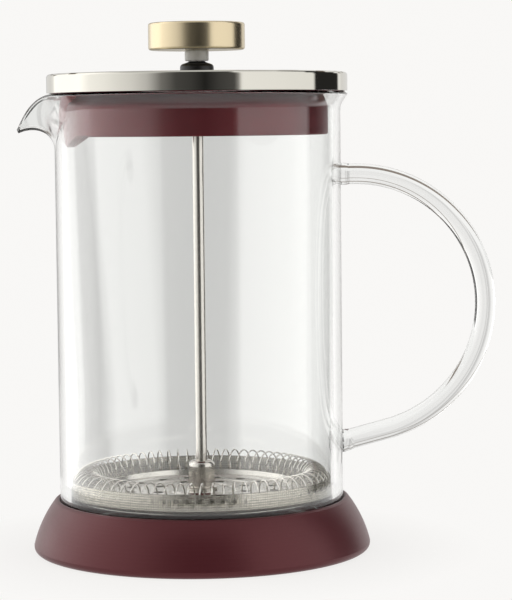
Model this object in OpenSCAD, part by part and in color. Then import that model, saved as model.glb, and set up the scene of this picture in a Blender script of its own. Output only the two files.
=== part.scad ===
// Glass cafetiere (french press): a beaker in a soft foot, with a lid and a plunger.
// Frame: origin at the centre of the foot's underside, +Z up, the handle towards +X and
// the spout towards -X. Millimetres. The plunger is drawn pressed down and the lid shut.

/* [Beaker] */
// Outer diameter of the glass wall
glass_od = 100; // [98:0.5:101]
// Thickness of the glass wall
glass_wall = 3.7; // [3.4:0.1:3.8]
// Thickness of the glass bottom
glass_floor = 3.7; // [3:0.1:4.5]
// Radius of the rounded bottom corner, outside
glass_corner = 9; // [7:0.5:11]
// Height of the rim above the table
rim_z = 160.4; // [160:0.1:160.5]
// How far the rim flares out past the wall
rim_flare = 2.7; // [2:0.1:3.2]

/* [Handle] */
// Diameter of the glass rod that the handle is bent from
handle_d = 7.2; // [6:0.1:7.6]
// Height of the rod's centre line at the upper weld
handle_top_z = 131.7; // [127:0.1:133]
// Radius of the main bow, on the centre line
handle_bow_r = 45.7; // [44:0.1:47]
// Radius of the lower bend, on the centre line
handle_low_r = 46.3; // [44:0.1:47]
// Slope at which the rod comes down to the lower weld
handle_slope = 14.7; // [12:0.1:18]
// Diameter of the bead of glass at each weld
weld_d = 7.8; // [7.6:0.1:9]

/* [Foot] */
// Largest radius of the foot, just above the table
foot_r = 59.4; // [57:0.2:62]
// Height of the foot
foot_h = 18.5; // [16:0.5:20]
// Thickness of the foot under the glass
foot_floor = 3.3; // [2.5:0.1:4]
// Radius of the bow of its side
foot_bow_r = 42; // [36:1:60]

/* [Lid] */
// Outer radius of the steel cap
cap_r = 52.5; // [51.5:0.1:53]
// Underside of the cap's skirt above the table
cap_z = 160.8; // [160.7:0.1:161]
// Height of the cap
cap_h = 6.5; // [6:0.1:8]
// Sheet thickness of the cap
cap_sheet = 0.8; // [0.6:0.1:1]
// Outer radius of the insert's skirt, a loose fit in the glass
skirt_r = 45.6; // [45:0.1:45.8]
// Lower edge of the skirt above the table
skirt_z = 145.6; // [144:0.2:148]
// Radius of the insert's neck, above the skirt's rounded shoulder
neck_r = 41.2; // [41:0.1:42.5]
// Wall thickness of the insert
insert_wall = 2.2; // [1.8:0.1:3]
// Lowest point of the spout baffle above the table
baffle_z = 141.7; // [141.2:0.1:142.5]
// How far the baffle reaches from the axis, into the spout
baffle_reach = 47.5; // [47:0.1:47.6]

/* [Plunger] */
// Diameter of the rod
rod_d = 4; // [3.5:0.1:4.5]
// Radius of the knob
knob_r = 16.9; // [14:0.1:20]
// Height of the knob
knob_h = 9.5; // [8:0.1:12]
// Underside of the knob above the table, plunger down
knob_z = 175.4; // [174:0.1:177]
// Outer radius of the mesh screen's upturned edge
screen_r = 45.9; // [45.5:0.05:46]
// Underside of the screen above the table, plunger down
screen_z = 19.6; // [19:0.1:22]
// Height of the screen's upturned edge
screen_h = 6.8; // [6:0.1:8]
// Radius of one turn of the edge spring, over the wire
spring_turn_r = 4.6; // [4:0.1:4.8]

/* [Hidden] */
$fn = 96;

glass_r = glass_od / 2;
bore_r = glass_r - glass_wall;
glass_z = foot_floor + 0.2;
bore_z = glass_z + glass_floor;
flare_z = rim_z - 6;
rim_round = 1.1;
lip_wall = 2 * rim_round;
flare_step = (rim_z - rim_round - flare_z) / 8;

slip = 0.1;
rod_r = rod_d / 2;
running_fit = 0.05;

cap_top = cap_z + cap_h;
web_h = 3;
web_z = cap_top - cap_sheet - web_h;
flange_r = cap_r - cap_sheet - 0.1;
bush_r = 4.2;
washer_h = 0.6;
nut_h = 2.8;
collar_r = 4.2;
shoulder_z = cap_z - 5.1;
bush_top = cap_top + 4.2;

plate_h = 0.8;
screen_sheet = 0.5;
spiral_z = screen_z + screen_sheet + 0.1;
spring_r = screen_r - screen_sheet - 0.1 - spring_turn_r;
spring_z = spiral_z + 0.1 + spring_turn_r;
hub_r = 4.6;
hub_top = 31.5;
cross_z = screen_z - 0.2 - plate_h;
cross_nut_z = cross_z - 3.6;

// Points of an arc about [cx, cz] from angle a0 to angle a1, for a profile in [radius, z]
function arc(cx, cz, r, a0, a1, steps = 8) =
    [for (i = [0 : steps]) let (a = a0 + (a1 - a0) * i / steps) [cx + r * cos(a), cz + r * sin(a)]];

// Centre of the circle of radius r that has p and q on it and lies on the axis side of them
function bow_centre(p, q, r) =
    let (m = (p + q) / 2, d = q - p, half = norm(d) / 2, u = d / norm(d))
    m + sqrt(r * r - half * half) * [-u[1], u[0]];

// Smooth step from 0 to 1
function ease(t) = t * t * (3 - 2 * t);

// A row of equal holes round the Z axis, cut through a plate that starts at z
module hole_ring(count, ring_r, hole_r, z, h) {
    for (i = [0 : count - 1])
        rotate([0, 0, 360 / count * (i + 0.5)])
            translate([ring_r, 0, z - 1])
                cylinder(r = hole_r, h = h + 2, $fn = 32);
}

// A disc with rounded edges, standing on z
module round_disc(r, h, z, edge) {
    rotate_extrude()
        polygon(concat(
            [[0, z]],
            arc(r - edge, z + edge, edge, -90, 0, 5),
            arc(r - edge, z + h - edge, edge, 0, 90, 5),
            [[0, z + h]]));
}

// ---- Foot: a silicone boot that the beaker is pushed into ----

module base_foot() {
    low = [foot_r, 2.4];
    high = [glass_r + 1.9, foot_h - 0.6];
    centre = bow_centre(low, high, foot_bow_r);
    a_low = atan2(low[1] - centre[1], low[0] - centre[0]);
    a_high = atan2(high[1] - centre[1], high[0] - centre[0]);
    corner = [glass_r - glass_corner, glass_z + glass_corner];
    color([0.32, 0.15, 0.17])
        rotate_extrude()
            polygon(concat(
                [[0, 0]],
                arc(foot_r - 2, 2, 2, -90, -4, 6),
                arc(centre[0], centre[1], foot_bow_r, a_low, a_high, 12),
                arc(glass_r + slip + 0.75, foot_h - 0.75, 0.75, 40, 180, 6),
                arc(corner[0], corner[1], glass_corner + slip, 0, -90, 8),
                [[0, foot_floor]]));
}

// ---- Beaker: drawn glass with a flared rim and a pulled spout ----

module beaker_outside() {
    rotate_extrude()
        polygon(concat(
            [[0, glass_z]],
            arc(glass_r - glass_corner, glass_z + glass_corner, glass_corner, -90, 0, 8),
            [for (i = [0 : 8]) [glass_r + rim_flare * ease(i / 8), flare_z + i * flare_step]],
            arc(glass_r + rim_flare - rim_round, rim_z - rim_round, rim_round, 10, 90, 4),
            [[0, rim_z]]));
}

module beaker_inside() {
    inner_corner = glass_corner - glass_floor;
    rim_in = glass_r + rim_flare - rim_round;
    rotate_extrude()
        polygon(concat(
            [[0, bore_z]],
            arc(bore_r - inner_corner, bore_z + inner_corner, inner_corner, -90, 0, 8),
            [for (i = [0 : 8])
                [bore_r + (glass_r + rim_flare - lip_wall - bore_r) * ease(i / 8), flare_z + i * flare_step]],
            arc(rim_in, rim_z - rim_round, rim_round, 170, 90, 4),
            [[rim_in, rim_z + 20], [0, rim_z + 20]]));
}

// Balls in mirrored pairs at [x, half width, z] on the spout's side, shrink-wrapped
module wrap(points, r) {
    hull()
        for (p = points, side = [-1, 1])
            translate([-p[0], side * p[1], p[2]])
                sphere(r = r, $fn = 24);
}

module spout_outside() {
    wrap([[glass_r - 3, 17, rim_z - 3.2], [glass_r - 2, 12, rim_z - 10], [glass_r - 1.5, 0, rim_z - 15.4],
          [glass_r + 3, 11, rim_z - 3.6], [glass_r + 5, 8, rim_z - 8], [glass_r + 4, 0, rim_z - 11],
          [glass_r + 7.4, 6.6, rim_z - 6.6]], 1.4);
    wrap([[glass_r + 3, 11, rim_z - 3.6], [glass_r + 5, 8, rim_z - 8], [glass_r + 4, 0, rim_z - 11],
          [glass_r + 7.4, 6.6, rim_z - 6.6], [glass_r + 8.6, 0, rim_z - 10.8]], 1.4);
    wrap([[glass_r + 7.4, 6.6, rim_z - 6.6], [glass_r + 8.6, 0, rim_z - 10.8], [glass_r + 8.2, 4.4, rim_z - 9.4],
          [glass_r + 10.4, 3.8, rim_z - 9.4], [glass_r + 12.1, 1.4, rim_z - 11.9]], 1.4);
}

// The pouring channel, and the pocket at its root that the baffle drops into
module spout_inside() {
    wrap([[glass_r - 8, 11, rim_z + 6], [glass_r - 5, 8.6, rim_z - 8],
          [glass_r + 3, 7.4, rim_z - 1.6], [glass_r + 3, 7.4, rim_z + 6],
          [glass_r + 6.9, 4, rim_z - 5.2], [glass_r + 9.6, 1.2, rim_z - 8.2],
          [glass_r + 11, 1, rim_z + 6]], 0.8);
    wrap([[glass_r - 7, 7.6, rim_z - 19.2], [glass_r - 3.9, 4.6, rim_z - 19], [glass_r - 7, 10, rim_z - 13],
          [glass_r - 3, 5.2, rim_z - 12], [glass_r - 7, 10.6, rim_z + 6],
          [glass_r - 2.6, 6, rim_z - 6], [glass_r - 2.2, 6.6, rim_z + 6]], 0.8);
}

module glass_beaker() {
    color([0.85, 0.9, 0.9, 0.35])
        difference() {
            union() {
                beaker_outside();
                spout_outside();
            }
            beaker_inside();
            spout_inside();
        }
}

// ---- Handle: a bent glass rod with a bead at each weld ----

// Points [x, z, heading] along the rod's centre line, from the upper weld to the lower one
function handle_path() =
    let (turn = -30,
         a_end = -90 + handle_slope,
         bow = [glass_r + 5.1, handle_top_z - handle_bow_r],
         low = bow + (handle_bow_r - handle_low_r) * [cos(turn), sin(turn)],
         end = low + handle_low_r * [cos(a_end), sin(a_end)],
         run = end[0] - glass_r - 0.8)
    concat(
        [[glass_r + 0.8, handle_top_z, 0]],
        [for (i = [0 : 24]) let (a = 90 + (turn - 90) * i / 24)
            [bow[0] + handle_bow_r * cos(a), bow[1] + handle_bow_r * sin(a), a - 90]],
        [for (i = [1 : 9]) let (a = turn + (a_end - turn) * i / 9)
            [low[0] + handle_low_r * cos(a), low[1] + handle_low_r * sin(a), a - 90]],
        [[end[0] - run, end[1] - run * tan(handle_slope), a_end - 90]]);

// A closed tube of radius r along a path in the XZ plane
module planar_tube(path, r, sides) {
    last = len(path) - 1;
    polyhedron(
        points = [for (p = path, k = [0 : sides - 1]) let (a = 360 * k / sides)
            [p[0] - r * cos(a) * sin(p[2]), r * sin(a), p[1] + r * cos(a) * cos(p[2])]],
        faces = concat(
            [[for (k = [sides - 1 : -1 : 0]) k]],
            [for (i = [0 : last - 1], k = [0 : sides - 1]) let (n = (k + 1) % sides)
                [i * sides + k, i * sides + n, (i + 1) * sides + n, (i + 1) * sides + k]],
            [[for (k = [0 : sides - 1]) last * sides + k]]));
}

// The bead at a weld, on the wall at height z, square to the rod that leaves it at a slope
module weld_bead(z, slope) {
    translate([glass_r - 2, 0, z])
        rotate([0, 90 - slope, 0])
            cylinder(d = weld_d, h = 4.6);
}

module glass_handle() {
    path = handle_path();
    foot = path[len(path) - 1];
    color([0.85, 0.9, 0.9, 0.35])
        difference() {
            union() {
                planar_tube(path, handle_d / 2, 20);
                weld_bead(handle_top_z, 0);
                weld_bead(foot[1] - 2.8 * tan(handle_slope), handle_slope);
            }
            cylinder(r = glass_r, h = rim_z);
        }
}

// ---- Lid: a steel cap on a plastic insert, held by the rod's guide bush ----

module lid_cap() {
    edge = 1.1;
    inner = edge - cap_sheet;
    color([0.83, 0.82, 0.8])
        rotate_extrude()
            polygon(concat(
                [[bush_r + 0.1, cap_top - cap_sheet]],
                arc(cap_r - edge, cap_top - edge, inner, 90, 0, 4),
                [[cap_r - cap_sheet, cap_z], [cap_r, cap_z]],
                arc(cap_r - edge, cap_top - edge, edge, 0, 90, 6),
                [[bush_r + 0.1, cap_top]]));
}

// Outside of the insert, as one turned solid
module insert_outside() {
    top = web_z + web_h - 0.1;
    rotate_extrude()
        polygon(concat(
            [[0, skirt_z]],
            arc(skirt_r - 0.6, skirt_z + 0.6, 0.6, -90, 0, 3),
            arc(neck_r, shoulder_z, skirt_r - neck_r, 0, 80, 8),
            [[neck_r + 0.3, cap_z + 0.2], [flange_r, cap_z + 0.2]],
            [[flange_r, top - 0.4], [flange_r - 0.4, top], [0, top]]));
}

// The hollow under the insert's web, as one turned solid
module insert_hollow() {
    wide = skirt_r - insert_wall;
    narrow = neck_r - insert_wall;
    rotate_extrude()
        polygon([[0, baffle_z - 5], [wide, baffle_z - 5], [wide, shoulder_z - 0.6],
                 [narrow, shoulder_z + 2], [narrow, web_z], [11, web_z], [11, web_z - 4], [0, web_z - 4]]);
}

// The bulge that reaches into the spout, and the baffle that hangs below it
module baffle() {
    bulge_r = 16;
    edge = 1.5;
    low_r = bulge_r - 0.9;
    lip_z = cap_z - 1.6;
    round_r = 53;
    translate([bulge_r - baffle_reach, 0, lip_z])
        cylinder(r = bulge_r + 0.6, h = 0.8);
    intersection() {
        translate([bulge_r - baffle_reach, 0, 0])
            rotate_extrude()
                polygon(concat(
                    [[0, baffle_z - 1]],
                    [[low_r - edge, baffle_z - 1]],
                    arc(low_r - edge, baffle_z + edge, edge, -90, 0, 5),
                    [[bulge_r, baffle_z + 11], [bulge_r, lip_z + 0.3], [0, lip_z + 0.3]]));
        translate([-70, 0, baffle_z + round_r])
            rotate([0, 90, 0])
                cylinder(r = round_r, h = 40);
    }
}

// The skirt's own wall, carried down below its edge beside the bulge
module baffle_skirt() {
    round_r = 53;
    intersection() {
        translate([0, 0, baffle_z - 1])
            cylinder(r = skirt_r, h = skirt_z - baffle_z + 3);
        translate([-70, 0, baffle_z + round_r])
            rotate([0, 90, 0])
                cylinder(r = round_r, h = 40);
    }
}

module lid_insert() {
    color([0.34, 0.17, 0.18])
        difference() {
            union() {
                insert_outside();
                baffle();
                baffle_skirt();
            }
            insert_hollow();
            translate([0, 0, web_z - 5])
                cylinder(r = 9, h = 4);
            cylinder(r = bush_r + 0.1, h = 200);
        }
}

module lid_bush() {
    color([0.03, 0.03, 0.03])
        rotate_extrude()
            polygon(concat(
                [[rod_r + running_fit, web_z - 1 - washer_h - nut_h - 0.6]],
                [[bush_r, web_z - 1 - washer_h - nut_h - 0.6], [bush_r, cap_top + 0.02]],
                arc(5.6, cap_top + 0.32, 0.3, -90, 0, 3),
                arc(4.5, cap_top + 2, 1.4, 0, 62, 5),
                [[3.2, bush_top - 0.3], [2.8, bush_top], [rod_r + running_fit, bush_top]]));
}

module bush_washer() {
    color([0.7, 0.7, 0.7])
        difference() {
            round_disc(8, washer_h, web_z - 1 - washer_h - 0.02, 0.15);
            cylinder(r = bush_r + 0.15, h = 200);
        }
}

module bush_nut() {
    color([0.05, 0.05, 0.05])
        translate([0, 0, web_z - 1 - washer_h - nut_h - 0.04])
            difference() {
                cylinder(r = 7.6, h = nut_h, $fn = 6);
                translate([0, 0, -1])
                    cylinder(r = bush_r + 0.02, h = nut_h + 2);
            }
}

// ---- Plunger: knob, rod and the filter pack at its foot ----

module knob() {
    color([0.78, 0.6, 0.3])
        difference() {
            round_disc(knob_r, knob_h, knob_z, 0.9);
            translate([0, 0, knob_z - 1])
                cylinder(r = rod_r + running_fit, h = 7);
        }
}

module knob_collar() {
    color([0.9, 0.89, 0.87])
        difference() {
            round_disc(collar_r, knob_z - bush_top - 0.12, bush_top + 0.1, 0.5);
            cylinder(r = rod_r + running_fit, h = 200);
        }
}

module plunger_rod() {
    color([0.72, 0.7, 0.68])
        rotate_extrude()
            polygon([[0, cross_nut_z + 0.4], [rod_r - 0.4, cross_nut_z + 0.4], [rod_r, cross_nut_z + 0.8],
                     [rod_r, knob_z + 5], [rod_r - 0.4, knob_z + 5.4], [0, knob_z + 5.4]]);
}

module rod_hub() {
    foot_z = spiral_z + plate_h + 0.02;
    color([0.66, 0.64, 0.61])
        rotate_extrude()
            polygon(concat(
                [[rod_r, foot_z], [hub_r + 1, foot_z], [hub_r + 1, foot_z + 1], [hub_r, foot_z + 1.4]],
                arc(hub_r - 2.2, hub_top - 2.2, 2.2, 0, 78, 8),
                [[rod_r, hub_top]]));
}

// Profile points of a low pressed ring at radius r on a plate's top, from the outside in
function ridge(r, z) = [[r + 1.4, z], [r + 0.7, z + 0.5], [r - 0.7, z + 0.5], [r - 1.4, z]];

module spiral_plate() {
    plate_r = spring_r - spring_turn_r - 0.2;
    color([0.7, 0.68, 0.65])
        difference() {
            rotate_extrude()
                polygon(concat(
                    [[rod_r, spiral_z], [plate_r, spiral_z], [plate_r, spiral_z + 2.4]],
                    [[plate_r - 0.7, spiral_z + 2.4], [plate_r - 1.1, spiral_z + plate_h]],
                    ridge(30, spiral_z + plate_h), ridge(21, spiral_z + plate_h), ridge(12, spiral_z + plate_h),
                    [[rod_r, spiral_z + plate_h]]));
            hole_ring(8, 16.5, 1.8, spiral_z, plate_h);
            hole_ring(16, 25.5, 1.8, spiral_z, plate_h);
        }
}

// The edge spring as the ring that its turns fill
module filter_spring() {
    color([0.75, 0.73, 0.7])
        rotate_extrude()
            translate([spring_r, spring_z])
                difference() {
                    circle(r = spring_turn_r, $fn = 48);
                    circle(r = spring_turn_r - 0.7, $fn = 48);
                }
}

module mesh_screen() {
    fold = 1.2;
    top = screen_z + screen_h;
    color([0.62, 0.6, 0.57])
        rotate_extrude()
            polygon(concat(
                [[rod_r + 0.1, screen_z]],
                arc(screen_r - fold, screen_z + fold, fold, -90, 0, 5),
                [[screen_r, top], [screen_r - screen_sheet, top]],
                arc(screen_r - fold, screen_z + fold, fold - screen_sheet, 0, -90, 5),
                [[rod_r + 0.1, screen_z + screen_sheet]]));
}

module cross_plate() {
    color([0.7, 0.68, 0.65])
        difference() {
            round_disc(screen_r - 2.4, plate_h, cross_z, 0.3);
            hole_ring(6, 17, 5.5, cross_z, plate_h);
            hole_ring(12, 32, 5.5, cross_z, plate_h);
            cylinder(r = rod_r + running_fit, h = 100);
        }
}

module cross_nut() {
    color([0.66, 0.64, 0.61])
        difference() {
            round_disc(5.4, cross_z - 0.02 - cross_nut_z, cross_nut_z, 0.5);
            cylinder(r = rod_r + running_fit, h = 100);
        }
}

base_foot();
glass_beaker();
glass_handle();
lid_cap();
lid_insert();
lid_bush();
bush_washer();
bush_nut();
knob();
knob_collar();
plunger_rod();
rod_hub();
spiral_plate();
filter_spring();
mesh_screen();
cross_plate();
cross_nut();
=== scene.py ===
"""Looks of the glass cafetiere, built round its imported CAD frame.

Metres, in the CAD frame: +Z up, the handle towards +X, the spout towards -X. The glass, the
edge spring and the mesh screen are modelled here in full; every other piece is its CAD node
with a better material.
"""

import math

import bpy
import numpy as np
from mathutils import Matrix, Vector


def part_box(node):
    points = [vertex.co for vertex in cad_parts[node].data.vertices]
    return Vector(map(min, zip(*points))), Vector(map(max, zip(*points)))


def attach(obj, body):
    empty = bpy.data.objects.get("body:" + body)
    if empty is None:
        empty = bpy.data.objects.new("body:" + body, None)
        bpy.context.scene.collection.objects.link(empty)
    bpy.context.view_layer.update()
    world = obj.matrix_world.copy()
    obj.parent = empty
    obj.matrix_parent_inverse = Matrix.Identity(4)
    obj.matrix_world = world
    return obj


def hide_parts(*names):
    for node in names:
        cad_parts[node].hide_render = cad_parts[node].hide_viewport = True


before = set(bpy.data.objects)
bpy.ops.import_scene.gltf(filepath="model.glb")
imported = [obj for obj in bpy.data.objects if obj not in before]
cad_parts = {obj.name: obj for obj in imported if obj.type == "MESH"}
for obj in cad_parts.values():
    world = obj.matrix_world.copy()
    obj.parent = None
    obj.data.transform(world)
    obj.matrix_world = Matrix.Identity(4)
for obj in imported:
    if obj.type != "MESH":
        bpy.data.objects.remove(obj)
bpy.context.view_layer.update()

MM = 0.001
scene = bpy.context.scene

# ---- Driving sizes, from the frame ----

glass_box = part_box("glass_beaker")
handle_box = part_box("glass_handle")
screen_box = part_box("mesh_screen")
spring_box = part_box("filter_spring")

RIM_R = glass_box[1][1]
RIM_Z = glass_box[1][2]
GLASS_Z = glass_box[0][2]
SPOUT_REACH = -glass_box[0][0]
GLASS_R = RIM_R - 2.7 * MM
WALL = 3.7 * MM
CORNER_R = 9 * MM


# ---- Small helpers ----

def smooth_step(t):
    """0 below 0, 1 above 1, and a smooth rise between."""
    t = np.clip(t, 0.0, 1.0)
    return t * t * (3 - 2 * t)


def mesh_object(name, vertices, faces, material, uv=None):
    """A smooth-shaded mesh object; uv gives one (u, v) for each vertex."""
    mesh = bpy.data.meshes.new(name)
    mesh.from_pydata([tuple(v) for v in vertices], [], faces)
    mesh.validate()
    for polygon in mesh.polygons:
        polygon.use_smooth = True
    if uv is not None:
        layer = mesh.uv_layers.new(name="surface")
        for loop in mesh.loops:
            layer.data[loop.index].uv = uv[loop.vertex_index]
    mesh.materials.append(material)
    obj = bpy.data.objects.new(name, mesh)
    scene.collection.objects.link(obj)
    return obj


def grid_faces(rings, columns, wrap_rings=False):
    """Quads between neighbouring rings of vertices; each ring closes on itself."""
    faces = []
    for i in range(rings if wrap_rings else rings - 1):
        for j in range(columns):
            a = i * columns
            b = (i + 1) % rings * columns
            k = (j + 1) % columns
            faces.append((a + j, a + k, b + k, b + j))
    return faces


def end_caps(rings, columns):
    """The two faces that close a grid of rings at its first and last ring."""
    last = (rings - 1) * columns
    return [tuple(range(columns - 1, -1, -1)), tuple(last + k for k in range(columns))]


def unit(vectors):
    """Rows of vectors, scaled to length 1."""
    return vectors / np.linalg.norm(vectors, axis=1)[:, None]


def swept(points, across, over, radii, sides):
    """Vertices of round rings about points, in the planes that across and over span."""
    turn = np.linspace(0, 2 * math.pi, sides, endpoint=False)[None, :, None]
    rings = (points[:, None] + np.asarray(radii)[..., None, None]
             * (np.cos(turn) * across[:, None] + np.sin(turn) * over[:, None]))
    return rings.reshape(-1, 3)


# ---- Materials ----

def new_material(name, **inputs):
    """A Principled material with some of its sockets set; returns it with its node tree and shader."""
    material = bpy.data.materials.new(name)
    material.use_nodes = True
    tree = material.node_tree
    shader = tree.nodes["Principled BSDF"]
    for key, value in inputs.items():
        shader.inputs[key.replace("_", " ")].default_value = value
    return material, tree, shader


def node(tree, kind, **values):
    """A new node with its properties and input defaults set by name."""
    made = tree.nodes.new(kind)
    for key, value in values.items():
        if hasattr(made, key):
            setattr(made, key, value)
        else:
            made.inputs[key].default_value = value
    return made


def mapped(tree, source="Object", scale=(1, 1, 1)):
    """Texture coordinates, scaled."""
    coordinates = node(tree, "ShaderNodeTexCoord")
    mapping = node(tree, "ShaderNodeMapping")
    mapping.inputs["Scale"].default_value = scale
    tree.links.new(coordinates.outputs[source], mapping.inputs["Vector"])
    return mapping.outputs["Vector"]


def noise(tree, vector, scale, detail=3.0):
    """A noise texture's factor."""
    texture = node(tree, "ShaderNodeTexNoise")
    texture.inputs["Scale"].default_value = scale
    texture.inputs["Detail"].default_value = detail
    tree.links.new(vector, texture.inputs["Vector"])
    return texture.outputs["Fac"]


def ranged(tree, value, low, high, start=0.0, end=1.0):
    """value, mapped from start..end to low..high."""
    mapping = node(tree, "ShaderNodeMapRange")
    mapping.inputs["From Min"].default_value = start
    mapping.inputs["From Max"].default_value = end
    mapping.inputs["To Min"].default_value = low
    mapping.inputs["To Max"].default_value = high
    tree.links.new(value, mapping.inputs["Value"])
    return mapping.outputs["Result"]


def bumped(tree, shader, height, strength, distance):
    """Puts a bump of the given height signal on a shader."""
    bump = node(tree, "ShaderNodeBump")
    bump.inputs["Strength"].default_value = strength
    bump.inputs["Distance"].default_value = distance
    tree.links.new(height, bump.inputs["Height"])
    tree.links.new(bump.outputs["Normal"], shader.inputs["Normal"])


def two_tone(tree, shader, factor, dark, light):
    """Mixes two colours by a factor into a shader's base colour."""
    mix = node(tree, "ShaderNodeMix", data_type="RGBA")
    mix.inputs["A"].default_value = (*dark, 1)
    mix.inputs["B"].default_value = (*light, 1)
    tree.links.new(factor, mix.inputs["Factor"])
    tree.links.new(mix.outputs["Result"], shader.inputs["Base Color"])


def glass_material():
    """Clear borosilicate glass with the faint waves of drawn glass."""
    material, tree, shader = new_material(
        "borosilicate_glass", Transmission_Weight=1.0, IOR=1.47, Roughness=0.0,
        Base_Color=(0.985, 0.995, 0.99, 1))
    waves = noise(tree, mapped(tree, scale=(1, 1, 0.25)), 45.0, 2.0)
    bumped(tree, shader, waves, 0.05, 0.0006)
    return material


def silicone_material():
    """Matte burgundy silicone: a fine grain and a soft haze at grazing angles."""
    material, tree, shader = new_material(
        "burgundy_silicone", Roughness=0.36, Specular_IOR_Level=0.65, Specular_Tint=(1, 0.45, 0.47, 1),
        Sheen_Weight=0.03, Sheen_Roughness=0.4)
    grain = noise(tree, mapped(tree), 900.0, 4.0)
    patches = noise(tree, mapped(tree), 30.0, 3.0)
    two_tone(tree, shader, patches, (0.058, 0.0105, 0.0140), (0.067, 0.0130, 0.0170))
    tree.links.new(ranged(tree, grain, 0.32, 0.40), shader.inputs["Roughness"])
    bumped(tree, shader, grain, 0.25, 0.00006)
    return material


def insert_material():
    """Burgundy moulded plastic with a satin face."""
    material, tree, shader = new_material(
        "burgundy_plastic", Roughness=0.38, Specular_IOR_Level=0.8, Specular_Tint=(1, 0.05, 0.07, 1))
    grain = noise(tree, mapped(tree, scale=(1, 1, 0.4)), 500.0, 3.0)
    patches = noise(tree, mapped(tree), 40.0, 2.0)
    two_tone(tree, shader, patches, (0.125, 0.033, 0.040), (0.138, 0.038, 0.045))
    tree.links.new(ranged(tree, grain, 0.34, 0.44), shader.inputs["Roughness"])
    bumped(tree, shader, grain, 0.15, 0.00004)
    return material


def metal_material(name, color, roughness, grain_scale=(1, 1, 1), spread=0.04, bump=0.05, anisotropy=0.0):
    """A metal with a grain that varies its roughness and colour a little."""
    material, tree, shader = new_material(name, Metallic=1.0, Roughness=roughness, Anisotropic=anisotropy)
    grain = noise(tree, mapped(tree, scale=grain_scale), 700.0, 4.0)
    wear = noise(tree, mapped(tree), 60.0, 3.0)
    two_tone(tree, shader, wear, tuple(0.96 * c for c in color), color)
    tree.links.new(ranged(tree, grain, roughness, roughness + spread), shader.inputs["Roughness"])
    bumped(tree, shader, grain, bump, 0.00002)
    return material


def plastic_material(name, dark, light, roughness):
    """A plain moulded plastic with a fine grain."""
    material, tree, shader = new_material(name, Roughness=roughness)
    grain = noise(tree, mapped(tree), 800.0, 3.0)
    two_tone(tree, shader, grain, dark, light)
    tree.links.new(ranged(tree, grain, roughness - 0.04, roughness + 0.06), shader.inputs["Roughness"])
    bumped(tree, shader, grain, 0.15, 0.00003)
    return material


WEAVE_PITCH = 0.42 * MM


def mesh_material():
    """Fine woven wire mesh: crossed waves along the surface coordinates, which are in metres."""
    material, tree, shader = new_material("woven_mesh", Metallic=1.0, Roughness=0.2)
    heights = []
    for direction in ("X", "Y"):
        wave = node(tree, "ShaderNodeTexWave", wave_type="BANDS", bands_direction=direction)
        wave.inputs["Scale"].default_value = 0.5 / WEAVE_PITCH * 0.314
        tree.links.new(mapped(tree, "UV"), wave.inputs["Vector"])
        heights.append(wave.outputs["Fac"])
    weave = node(tree, "ShaderNodeMath", operation="MULTIPLY")
    tree.links.new(heights[0], weave.inputs[0])
    tree.links.new(heights[1], weave.inputs[1])
    cloudy = noise(tree, mapped(tree), 160.0, 3.0)
    mixed = node(tree, "ShaderNodeMath", operation="MULTIPLY")
    tree.links.new(weave.outputs[0], mixed.inputs[0])
    tree.links.new(ranged(tree, cloudy, 0.6, 1.4), mixed.inputs[1])
    two_tone(tree, shader, mixed.outputs[0], (0.44, 0.415, 0.36), (0.72, 0.69, 0.61))
    speckle = noise(tree, mapped(tree), 1500.0, 3.0)
    tree.links.new(ranged(tree, speckle, 0.12, 0.28), shader.inputs["Roughness"])
    tree.links.new(ranged(tree, mixed.outputs[0], 0.4, 0.85, 0.0, 0.5), shader.inputs["Alpha"])
    bumped(tree, shader, speckle, 0.3, 0.0001)
    return material


GLASS = glass_material()
SILICONE = silicone_material()
INSERT = insert_material()
MIRROR_STEEL = metal_material("mirror_steel", (0.56, 0.55, 0.50), 0.04, spread=0.03, bump=0.02)
ROD_STEEL = metal_material("rod_steel", (0.70, 0.67, 0.63), 0.16, (1, 1, 0.03), 0.08, 0.1, 0.3)
PLATE_STEEL = metal_material("plate_steel", (0.68, 0.66, 0.62), 0.18, spread=0.1)
WIRE_STEEL = metal_material("wire_steel", (0.80, 0.78, 0.74), 0.1, spread=0.06)
BRASS = metal_material("polished_brass", (0.62, 0.53, 0.36), 0.21, (1, 1, 0.2), 0.05, 0.04)
MESH = mesh_material()
WHITE = plastic_material("white_plastic", (0.74, 0.74, 0.72), (0.8, 0.8, 0.78), 0.3)
BLACK = plastic_material("black_plastic", (0.006, 0.006, 0.006), (0.012, 0.012, 0.013), 0.4)

NODE_MATERIALS = {
    "base_foot": SILICONE, "lid_cap": MIRROR_STEEL, "lid_insert": INSERT, "lid_bush": BLACK,
    "bush_washer": PLATE_STEEL, "bush_nut": BLACK, "knob": BRASS, "knob_collar": WHITE,
    "plunger_rod": ROD_STEEL, "rod_hub": ROD_STEEL, "spiral_plate": PLATE_STEEL,
    "cross_plate": PLATE_STEEL, "cross_nut": ROD_STEEL,
}
for name, material in NODE_MATERIALS.items():
    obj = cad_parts[name]
    for slot in obj.material_slots:
        slot.material = material


# ---- Glass: beaker, spout and handle, fused into one piece ----

EDGE = 0.55             # how far the lip's rounded edge stands out, for its half thickness
SQUARENESS = 0.6        # below 1 the rim's edge is squarer than a half circle
COLUMNS = 280
CURVE_RINGS = 32        # rings of the curve that flares the rim and draws out the spout
THIN_RINGS = 22         # of these, how many the wall takes to reach the lip's own thickness
LID_EDGE = 47.5         # mm from the axis: the spout's upper edge starts to fall from here
TAPER = 1.8 * MM        # how much thinner the wall is at its top than at its foot
TAPER_FROM = 55         # mm: height where the taper starts
TAPER_OVER = 95         # mm: height over which it is reached


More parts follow.
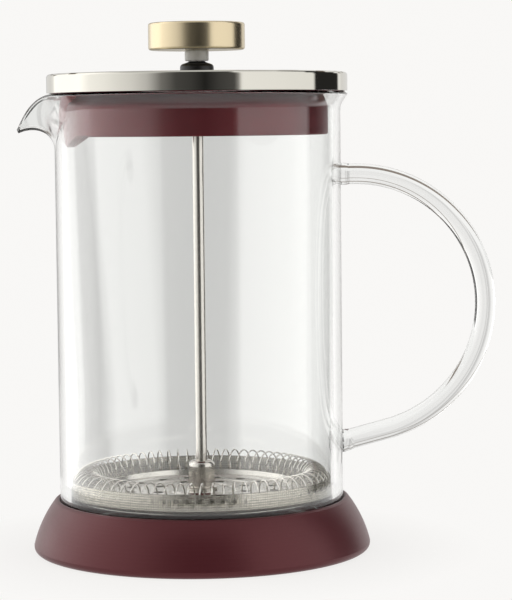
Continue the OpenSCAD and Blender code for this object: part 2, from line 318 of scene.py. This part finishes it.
def beaker_outer():
    """Rings of the outer surface, from under the bottom up to the rim, as [ring, column, xyz]."""
    spread = np.linspace(-1, 1, COLUMNS + 1)[:-1]
    away = math.pi * np.sign(spread) * np.abs(spread) ** 1.7      # 0 at the spout, denser there
    degrees = np.degrees(np.abs(away))
    pull = np.exp(-(degrees / 10) ** 2)                           # how far the lip is pulled out
    start = RIM_Z - (6 + 14 * np.exp(-(degrees / 20) ** 2)) * MM
    half_lip = (0.95 - 0.15 * pull) * MM
    lip_r = RIM_R - half_lip - 0.2 * MM + (SPOUT_REACH + 0.1 * MM - RIM_R) * pull
    beyond = np.maximum(lip_r * np.cos(away) / MM - LID_EDGE, 0)
    lip_z = RIM_Z - EDGE * half_lip - (0.0079 * beyond ** 2.68 + 0.7 * pull ** 8) * MM
    lean = np.stack([0.5 + 0.5 * pull, 0.87 - 1.31 * pull])       # which way the lip points
    lean /= np.linalg.norm(lean, axis=0)
    last = np.stack([lip_r, lip_z]) + np.stack([lean[1], -lean[0]]) * half_lip
    rings = []
    for r in (0.0005, 0.012, 0.024, 0.034):
        rings.append((np.full_like(away, r), np.full_like(away, GLASS_Z)))
    for a in np.linspace(-90, 0, 12):
        r = GLASS_R - CORNER_R + CORNER_R * math.cos(math.radians(a))
        z = GLASS_Z + CORNER_R + CORNER_R * math.sin(math.radians(a))
        rings.append((np.full_like(away, r), np.full_like(away, z)))
    low = GLASS_Z + CORNER_R
    for t in np.linspace(0, 1, 26)[1:]:
        rings.append((np.full_like(away, GLASS_R), low + (start - low) * t))
    first = np.stack([np.full_like(away, GLASS_R), start])
    second = first + np.stack([np.zeros_like(away), (1.9 + 5 * pull) * MM])
    third = last - lean * (2.2 + 4 * pull) * MM
    for t in np.linspace(0, 1, CURVE_RINGS + 1)[1:]:
        r, z = ((1 - t) ** 3 * first + 3 * t * (1 - t) ** 2 * second
                + 3 * t * t * (1 - t) * third + t ** 3 * last)
        rings.append((r, z))
    angle = math.pi + away
    surface = np.stack([np.stack([r * np.cos(angle), r * np.sin(angle), z], -1) for r, z in rings])
    return surface, 2 * half_lip


def grid_normals(grid):
    """Outward normals of a [ring, column, xyz] grid that closes round its columns."""
    along = np.gradient(grid, axis=0)
    around = np.roll(grid, -1, 1) - np.roll(grid, 1, 1)
    normals = np.cross(around, along)
    return normals / np.linalg.norm(normals, axis=2)[..., None]


def beaker_shell():
    """Closed surface of the beaker: outside, rounded rim, inside. Its wall thins towards the rim."""
    outer, lip = beaker_outer()
    normals = grid_normals(outer)
    rings = outer.shape[0]
    thin = smooth_step((np.arange(rings) - (rings - 1 - CURVE_RINGS)) / THIN_RINGS)[:, None, None]
    wall = WALL - TAPER * np.clip((outer[..., 2:] / MM - TAPER_FROM) / TAPER_OVER, 0, 1)
    thickness = wall + (lip[None, :, None] - wall) * thin
    inner = outer - normals * thickness
    inner[..., 2] = np.maximum(inner[..., 2], GLASS_Z + WALL)
    middle = (outer[-1] + inner[-1]) / 2
    half = (outer[-1] - inner[-1]) / 2
    top = unit(outer[-1] - outer[-2])
    size = np.linalg.norm(half, axis=1)[:, None]
    rim = [middle + half * math.copysign(abs(math.cos(a)) ** SQUARENESS, math.cos(a))
           + top * size * EDGE * math.sin(a) ** SQUARENESS for a in np.linspace(0, math.pi, 15)[1:-1]]
    shell = np.concatenate([outer, np.stack(rim), inner[::-1]])
    count = shell.shape[0]
    return shell.reshape(-1, 3), grid_faces(count, COLUMNS) + end_caps(count, COLUMNS)


HANDLE_R = 3.6 * MM
HANDLE_SIDES = 40
BEAD_R = handle_box[1][1]
BEAD_FIT = 0.02 * MM            # keeps the bead's facets inside its box
HANDLE_TOP = handle_box[1][2] - BEAD_R
BOW_OFFSET = 5.1 * MM           # the bow's centre, out from the glass
BOW_R = 45.7 * MM
LOW_R = 46.3 * MM               # the bow's radius below TURN
TURN = math.radians(-30)
SLOPE = math.radians(14.7)      # fall of the straight lower end towards the glass
ROOT = 1.9 * MM                 # depth of the handle's ends in the wall


def handle_path():
    """The handle's centre line in the XZ plane, from inside the wall to inside the wall."""
    inside = GLASS_R - ROOT
    bow = np.array([GLASS_R + BOW_OFFSET, HANDLE_TOP - BOW_R])
    low = bow + (BOW_R - LOW_R) * np.array([math.cos(TURN), math.sin(TURN)])
    end = -math.pi / 2 + SLOPE
    points = [(x, HANDLE_TOP) for x in np.linspace(inside, bow[0], 24)[:-1]]
    points += [(bow[0] + BOW_R * math.cos(a), bow[1] + BOW_R * math.sin(a))
               for a in np.linspace(math.pi / 2, TURN, 90)]
    points += [(low[0] + LOW_R * math.cos(a), low[1] + LOW_R * math.sin(a))
               for a in np.linspace(TURN, end, 30)[1:]]
    x, z = points[-1]
    run = np.linspace(0, x - inside, 30)[1:]
    points += [(x - step, z - step * math.tan(SLOPE)) for step in run]
    return np.array([(x, 0.0, z) for x, z in points])


def handle_tube():
    """Closed surface of the handle with the bead of glass at each weld."""
    path = handle_path()
    clear = path[:, 0] - GLASS_R
    bead = 1 - smooth_step((clear - 1.6 * MM) / (1.4 * MM))
    radii = HANDLE_R + bead * (BEAD_R - HANDLE_R - BEAD_FIT)
    tangents = unit(np.gradient(path, axis=0))
    across = unit(np.cross(tangents, (0, 1, 0)))
    over = np.cross(across, tangents)
    count = len(path)
    faces = grid_faces(count, HANDLE_SIDES) + end_caps(count, HANDLE_SIDES)
    return swept(path, across, over, radii, HANDLE_SIDES), faces


def fuse(obj, other):
    """Joins two closed meshes into one skin and drops the second object."""
    modifier = obj.modifiers.new("fuse", "BOOLEAN")
    modifier.operation = "UNION"
    modifier.solver = "EXACT"
    modifier.object = other
    graph = bpy.context.evaluated_depsgraph_get()
    fused = bpy.data.meshes.new_from_object(obj.evaluated_get(graph))
    obj.modifiers.clear()
    obj.data = fused
    bpy.data.objects.remove(other)
    for polygon in fused.polygons:
        polygon.use_smooth = True


glass = mesh_object("glass_body", *beaker_shell(), GLASS)
fuse(glass, mesh_object("handle_rod", *handle_tube(), GLASS))
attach(glass, "beaker")
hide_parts("glass_beaker", "glass_handle")


# ---- Filter pack: the edge spring's turns and the woven screen ----

SPRING_TURNS = 71
TURN_STEPS = 28
WIRE_R = 0.27 * MM
WIRE_SIDES = 8
SHEET = 0.3 * MM


def edge_spring():
    """The spring as one closed wire wound round the edge of the plate."""
    turn_r = (spring_box[1][2] - spring_box[0][2]) / 2 - WIRE_R
    ring_r = spring_box[1][0] - turn_r - WIRE_R
    middle = (spring_box[1][2] + spring_box[0][2]) / 2
    a = np.linspace(0, 2 * math.pi, SPRING_TURNS * TURN_STEPS, endpoint=False)
    b = SPRING_TURNS * a
    out = ring_r + turn_r * np.cos(b)
    points = np.stack([out * np.cos(a), out * np.sin(a), middle + turn_r * np.sin(b)], 1)
    tangents = unit(np.roll(points, -1, 0) - np.roll(points, 1, 0))
    radial = np.stack([np.cos(b) * np.cos(a), np.cos(b) * np.sin(a), np.sin(b)], 1)
    across = unit(np.cross(tangents, radial))
    over = np.cross(across, tangents)
    return (swept(points, across, over, WIRE_R, WIRE_SIDES),
            grid_faces(len(points), WIRE_SIDES, wrap_rings=True))


def woven_screen():
    """The screen with its upturned edge, dented outwards where each turn of the spring presses."""
    outer_r = screen_box[1][0]
    low, high = screen_box[0][2], screen_box[1][2]
    fold = 1.2 * MM
    columns = SPRING_TURNS * 8
    angle = np.linspace(0, 2 * math.pi, columns, endpoint=False)
    profile = [(r, low + SHEET) for r in np.linspace(2.1 * MM, outer_r - fold, 14)]
    bend = fold - SHEET / 2
    profile += [(outer_r - fold + bend * math.cos(a), low + fold + bend * math.sin(a))
                for a in np.linspace(-math.pi / 2, 0, 6)[1:]]
    profile += [(outer_r - SHEET / 2, z) for z in np.linspace(low + fold, high - 0.15 * MM, 12)[1:]]
    profile = np.array(profile)
    along = np.concatenate([[0], np.cumsum(np.linalg.norm(np.diff(profile, axis=0), axis=1))])
    press_z = low + 0.52 * (high - low)
    rings, uv = [], []
    for (r, z), s in zip(profile, along):
        near = math.exp(-((z - press_z) / (0.8 * MM)) ** 2) if r > outer_r - fold else 0.0
        dent = near * np.clip(np.cos(SPRING_TURNS * angle), 0, 1) ** 2
        radius = r - 0.16 * MM * (r > outer_r - fold) + 0.22 * MM * dent
        rings.append(np.stack([radius * np.cos(angle), radius * np.sin(angle), np.full(columns, z)], 1))
        uv += [(a * outer_r, s) for a in angle]
    return np.concatenate(rings), grid_faces(len(rings), columns), uv


spring = mesh_object("edge_spring", *edge_spring(), WIRE_STEEL)
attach(spring, "plunger")
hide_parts("filter_spring")

screen_vertices, screen_faces, screen_uv = woven_screen()
screen = mesh_object("woven_screen", screen_vertices, screen_faces, MESH, screen_uv)
thickness = screen.modifiers.new("sheet", "SOLIDIFY")
thickness.thickness = SHEET
thickness.offset = 0
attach(screen, "plunger")
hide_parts("mesh_screen")


# ---- Floor, light and camera ----

BACKGROUND = (0.945, 0.935, 0.92, 1)
FLOOR_R = 0.18
FLOOR_SIDES = 96


def floor_material():
    """A plain pale floor that melts into the backdrop away from the object."""
    material, tree, shader = new_material("pale_floor", Roughness=0.9, Specular_IOR_Level=0.1)
    patches = noise(tree, mapped(tree), 1.5, 2.0)
    two_tone(tree, shader, patches, (0.80, 0.795, 0.785), (0.82, 0.815, 0.805))
    glow = node(tree, "ShaderNodeEmission")
    glow.inputs["Color"].default_value = BACKGROUND
    away = node(tree, "ShaderNodeVectorMath", operation="LENGTH")
    tree.links.new(node(tree, "ShaderNodeTexCoord").outputs["Object"], away.inputs[0])
    fade = ranged(tree, away.outputs["Value"], 0.84, 1.0, 0.055, 0.1)
    mix = node(tree, "ShaderNodeMixShader")
    tree.links.new(fade, mix.inputs[0])
    tree.links.new(shader.outputs[0], mix.inputs[1])
    tree.links.new(glow.outputs[0], mix.inputs[2])
    tree.links.new(mix.outputs[0], tree.nodes["Material Output"].inputs["Surface"])
    return material


around = np.linspace(0, 2 * math.pi, FLOOR_SIDES, endpoint=False)
floor = mesh_object("floor", [(FLOOR_R * math.cos(a), FLOOR_R * math.sin(a), 0) for a in around],
                    [tuple(range(FLOOR_SIDES))], floor_material())

# Brightness round the horizon: degrees from the camera's side, positive to the right
STUDIO = [(-180, 0.70), (-165, 0.85), (-149, 0.98), (-142, 1.2), (-138, 1.8), (-100, 2.0),
          (-89, 1.58), (-75, 1.45), (-62, 1.26), (-50, 1.1), (-38, 0.82), (-27, 0.28),
          (-16, 0.10), (-5, 0.075), (6, 0.025), (17, 0.08), (28, 0.11), (31, 0.4), (34, 1.4),
          (66, 1.36), (99, 1.3), (101, 0.03), (134, 0.03), (137, 1.3), (144, 1.0), (150, 0.98),
          (165, 0.85), (180, 0.70)]
OVERHEAD = 0.8
UNDER = 0.9
# Darker bands behind the object: from and to (sine of the height angle), and colour
BANDS = [(-0.66, -0.40, (0.20, 0.16, 0.13)), (0.22, 0.26, (0.35, 0.32, 0.29)),
         (0.50, 0.58, (0.22, 0.18, 0.15))]
BAND_CORE = 0.8         # the part of a band's half height that has its full colour
LOW_FRONT = (0.10, 0.09, 0.08)
# Brightness straight behind the object, seen through it and reflected: degrees from +Y to +X
BACKDROP_REACH = 15
BACKDROP = [(-15, 0.72), (-12, 0.70), (-9, 0.58), (-6.2, 0.57), (-5, 0.80), (-2.2, 0.80),
            (-1.5, 0.69), (1.1, 0.69), (1.9, 0.84), (5, 0.88), (10, 0.86), (15, 0.84)]


def studio_world():
    """Panels round and above the object, fixed in the room; the camera sees a plain pale backdrop."""
    world = bpy.data.worlds.new("studio")
    scene.world = world
    world.use_nodes = True
    tree = world.node_tree
    links = tree.links
    background = tree.nodes["Background"]
    split = node(tree, "ShaderNodeSeparateXYZ")
    links.new(node(tree, "ShaderNodeTexCoord").outputs["Generated"], split.inputs[0])
    back = node(tree, "ShaderNodeMath", operation="MULTIPLY")
    links.new(split.outputs["Y"], back.inputs[0])
    back.inputs[1].default_value = -1

    def azimuth(y):
        """Angle of the view direction round the vertical, from the given Y towards X."""
        angle = node(tree, "ShaderNodeMath", operation="ARCTAN2")
        links.new(split.outputs["X"], angle.inputs[0])
        links.new(y, angle.inputs[1])
        return angle.outputs[0]

    def strips(angle, reach, levels):
        """A colour ramp of levels against an angle that runs from -reach to reach degrees."""
        ramp = node(tree, "ShaderNodeValToRGB")
        stops = ramp.color_ramp.elements
        while len(stops) > 1:
            stops.remove(stops[-1])
        for i, (degrees, level) in enumerate(levels):
            position = (degrees + reach) / (2 * reach)
            stop = stops[0] if i == 0 else stops.new(position)
            stop.position = position
            warm = 0.94 if level < 0.5 else 0.97
            stop.color = (level, level * (0.5 + 0.5 * warm), level * warm, 1)
        links.new(ranged(tree, angle, 0, 1, -math.radians(reach), math.radians(reach)), ramp.inputs[0])
        return ramp.outputs[0]

    behind = azimuth(split.outputs["Y"])
    size = node(tree, "ShaderNodeMath", operation="ABSOLUTE")
    links.new(behind, size.inputs[0])
    near = node(tree, "ShaderNodeMath", operation="LESS_THAN")
    links.new(size.outputs[0], near.inputs[0])
    near.inputs[1].default_value = math.radians(BACKDROP_REACH)
    level = node(tree, "ShaderNodeMix", data_type="RGBA")
    links.new(near.outputs[0], level.inputs["Factor"])
    links.new(strips(azimuth(back.outputs[0]), 180, STUDIO), level.inputs["A"])
    links.new(strips(behind, BACKDROP_REACH, BACKDROP), level.inputs["B"])

    def band(start, end, level, below):
        """Blends from what is below to a plain level between two heights of the view direction."""
        rise = node(tree, "ShaderNodeMapRange", interpolation_type="SMOOTHSTEP")
        rise.inputs["From Min"].default_value = start
        rise.inputs["From Max"].default_value = end
        links.new(split.outputs["Z"], rise.inputs["Value"])
        mix = node(tree, "ShaderNodeMix", data_type="RGBA")
        mix.inputs["B"].default_value = (level, level * 0.99, level * 0.975, 1)
        links.new(rise.outputs["Result"], mix.inputs["Factor"])
        links.new(below, mix.inputs["A"])
        return mix.outputs["Result"]

    def shaded(side, height, shade, below):
        """Mixes a colour over what is below, by the product of two factors."""
        both = node(tree, "ShaderNodeMath", operation="MULTIPLY")
        links.new(side, both.inputs[0])
        links.new(height, both.inputs[1])
        mix = node(tree, "ShaderNodeMix", data_type="RGBA")
        mix.inputs["B"].default_value = (*shade, 1)
        links.new(both.outputs[0], mix.inputs["Factor"])
        links.new(below, mix.inputs["A"])
        return mix.outputs["Result"]

    whole = band(0.72, 0.88, OVERHEAD, level.outputs["Result"])
    whole = band(-0.19, -0.23, UNDER, whole)
    in_front = ranged(tree, size.outputs[0], 0, 0.8, math.radians(100), math.radians(130))
    low = ranged(tree, split.outputs["Z"], 1, 0, -0.76, -0.62)
    whole = shaded(in_front, low, LOW_FRONT, whole)
    at_back = ranged(tree, size.outputs[0], 1, 0, math.radians(50), math.radians(70))
    for start, end, shade in BANDS:
        middle = node(tree, "ShaderNodeMath", operation="SUBTRACT")
        links.new(split.outputs["Z"], middle.inputs[0])
        middle.inputs[1].default_value = (start + end) / 2
        away = node(tree, "ShaderNodeMath", operation="ABSOLUTE")
        links.new(middle.outputs[0], away.inputs[0])
        half = (end - start) / 2
        inside = ranged(tree, away.outputs[0], 1, 0, half * BAND_CORE, half)
        whole = shaded(at_back, inside, shade, whole)
    seen = node(tree, "ShaderNodeMix", data_type="RGBA")
    seen.inputs["B"].default_value = BACKGROUND
    links.new(node(tree, "ShaderNodeLightPath").outputs["Is Camera Ray"], seen.inputs["Factor"])
    links.new(whole, seen.inputs["A"])
    links.new(seen.outputs["Result"], background.inputs["Color"])


studio_world()
scene.view_settings.view_transform = "Standard"

CAMERA_AWAY = 0.8
CAMERA_Z = 0.15035
CAMERA_LENS = 136.7
CAMERA_PITCH = math.radians(4.48)
CAMERA_YAW = math.radians(1.42)
CAMERA_ROLL = math.radians(-0.58)

camera_data = bpy.data.cameras.new("camera")
camera_data.lens = CAMERA_LENS
camera_data.sensor_width = 36
camera = bpy.data.objects.new("camera", camera_data)
scene.collection.objects.link(camera)
camera.matrix_world = (Matrix.Translation((0, -CAMERA_AWAY, CAMERA_Z))
                       @ Matrix.Rotation(-CAMERA_YAW, 4, "Z")
                       @ Matrix.Rotation(math.pi / 2 - CAMERA_PITCH, 4, "X")
                       @ Matrix.Rotation(CAMERA_ROLL, 4, "Z"))
scene.camera = camera
